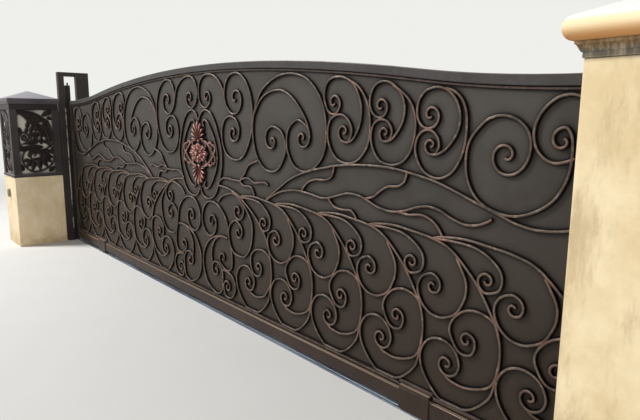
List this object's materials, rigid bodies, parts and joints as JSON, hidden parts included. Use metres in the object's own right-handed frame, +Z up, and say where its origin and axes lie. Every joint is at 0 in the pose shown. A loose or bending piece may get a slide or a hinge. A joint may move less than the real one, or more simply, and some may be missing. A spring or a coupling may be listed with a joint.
{
  "type": "sliding driveway gate with piers",
  "caption": "Arched sliding driveway gate with forged scrollwork on sheet steel, running on a ground track between stucco piers.",
  "frame": {"origin": "on the underside of the ground track, below the medallion in the middle of the opening", "axes": "+X along the track towards the right pier, the way the leaf opens; +Y from the street to the yard; +Z up"},
  "size_m": [12.79, 0.9017, 1.945],
  "materials": {
    "stucco_low": "rough stucco",
    "stucco_tall": "rough stucco",
    "track_steel": "worn galvanised",
    "wheel_steel": "turned",
    "medallion_copper": "copper rubbed over dark",
    "guide_plastic": "plain",
    "sensor_plastic": "plain",
    "opal_pane": "frosted",
    "lantern_iron": "satin",
    "goal_steel": "satin",
    "scroll_iron": "bronze rubbed over dark",
    "sheet_steel": "satin",
    "frame_steel": "satin"
  },
  "bodies": {
    "ground_works": {"pier_left": "stucco_low", "lantern_base": "lantern_iron", "lantern_posts": "lantern_iron", "lantern_frieze": "lantern_iron", "lantern_cap": "lantern_iron", "lantern_panes": "opal_pane", "grille_street": "lantern_iron", "grille_jamb": "lantern_iron", "grille_yard": "lantern_iron", "grille_outer": "lantern_iron", "gate_sensor": "sensor_plastic", "goal_posts": "goal_steel", "goal_header": "goal_steel", "goal_stop_bar": "goal_steel", "goal_guide_channel": "goal_steel", "far_goal_posts": "goal_steel", "far_goal_header": "goal_steel", "far_goal_guides": "guide_plastic", "pier_right": "stucco_tall", "pier_right_neck": "stucco_tall", "pier_right_cap": "stucco_tall", "track": "track_steel", "track_stops": "track_steel"},
    "gate_leaf": {"top_rail": "frame_steel", "bottom_rail": "frame_steel", "stile_left": "frame_steel", "stile_right": "frame_steel", "sheet": "sheet_steel", "top_moulding": "frame_steel", "bottom_moulding": "frame_steel", "rear_stiffeners": "frame_steel", "wheel_housing_left": "frame_steel", "wheel_housing_right": "frame_steel", "oval_surround": "scroll_iron", "medallion_rosette": "medallion_copper", "medallion_palmettes": "medallion_copper", "medallion_wings": "medallion_copper", "centre_scrolls": "scroll_iron", "feather_scrolls_left": "scroll_iron", "feather_scrolls_right": "scroll_iron", "upper_scrolls_left": "scroll_iron", "upper_scrolls_right": "scroll_iron", "tendrils_left": "scroll_iron", "tendrils_right": "scroll_iron"},
    "left_wheel": {"wheel_left": "wheel_steel"},
    "right_wheel": {"wheel_right": "wheel_steel"}
  },
  "joints": [
    {"name": "leaf_slide", "type": "slide", "parent": "ground_works", "child": "gate_leaf", "axis": [1, 0, 0], "range_m": [0, 6]},
    {"name": "left_wheel_turn", "type": "hinge", "parent": "gate_leaf", "child": "left_wheel", "pos_m": [-2.2, 0, 0.058], "axis": [0, 1, 0], "continuous": true},
    {"name": "right_wheel_turn", "type": "hinge", "parent": "gate_leaf", "child": "right_wheel", "pos_m": [2.117, 0, 0.058], "axis": [0, 1, 0], "continuous": true}
  ],
  "couplings": [
    {"joint": "left_wheel_turn", "follows": "leaf_slide", "rad_per_m": 29.412},
    {"joint": "right_wheel_turn", "follows": "leaf_slide", "rad_per_m": 29.412}
  ]
}
